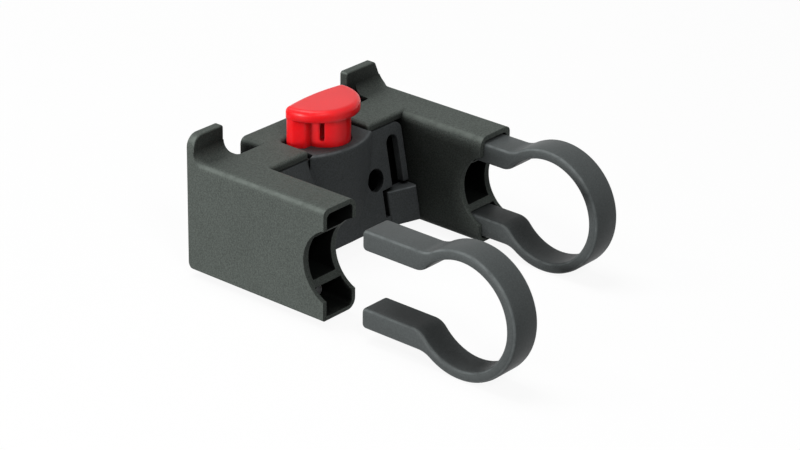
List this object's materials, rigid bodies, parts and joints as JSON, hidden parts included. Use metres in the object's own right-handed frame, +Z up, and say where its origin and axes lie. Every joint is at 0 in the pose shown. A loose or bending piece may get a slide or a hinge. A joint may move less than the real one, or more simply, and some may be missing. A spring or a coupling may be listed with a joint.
{
  "type": "handlebar bag mount",
  "caption": "Quick-release handlebar bag mount: a moulded U-shaped adapter with hollow arms, pull-in clamp loops for the bar and a sprung release button.",
  "frame": {"origin": "centre of the flat front face that the bag lies against, at the height of the handlebar's axis", "axes": "+Y forward out of the front face, +X to the rider's right along the handlebar, +Z up"},
  "size_m": [0.083, 0.1243, 0.0476],
  "materials": {
    "body_plastic": "matt, fine grain",
    "housing_plastic": "matt, fine grain",
    "loop_plastic": "satin",
    "button_plastic": "satin red",
    "steel": "zinc plated",
    "brass": "turned"
  },
  "bodies": {
    "adapter": {"adapter_body": "body_plastic", "lock_housing": "housing_plastic", "button_spring": "steel", "left_upper_clamp_screw": "steel", "left_lower_clamp_screw": "steel", "right_upper_clamp_screw": "steel", "right_lower_clamp_screw": "steel", "left_upper_washer": "steel", "left_lower_washer": "steel", "right_upper_washer": "steel", "right_lower_washer": "steel"},
    "button": {"release_button": "button_plastic"},
    "left_loop": {"left_clamp_loop": "loop_plastic", "left_upper_threaded_insert": "brass", "left_lower_threaded_insert": "brass"},
    "right_loop": {"right_clamp_loop": "loop_plastic", "right_upper_threaded_insert": "brass", "right_lower_threaded_insert": "brass"}
  },
  "joints": [
    {"name": "button_press", "type": "slide", "parent": "adapter", "child": "button", "axis": [0, 0, -1], "range_m": [0, 0.0055], "stiffness_N_per_m": 500, "springref_m": -0.003, "deforming": ["button_spring"]},
    {"name": "left_clamp_slide", "type": "slide", "parent": "adapter", "child": "left_loop", "axis": [0, 1, 0], "range_m": [0, 0.0359]},
    {"name": "right_clamp_slide", "type": "slide", "parent": "adapter", "child": "right_loop", "axis": [0, 1, 0], "range_m": [-0.0249, 0.011]}
  ]
}
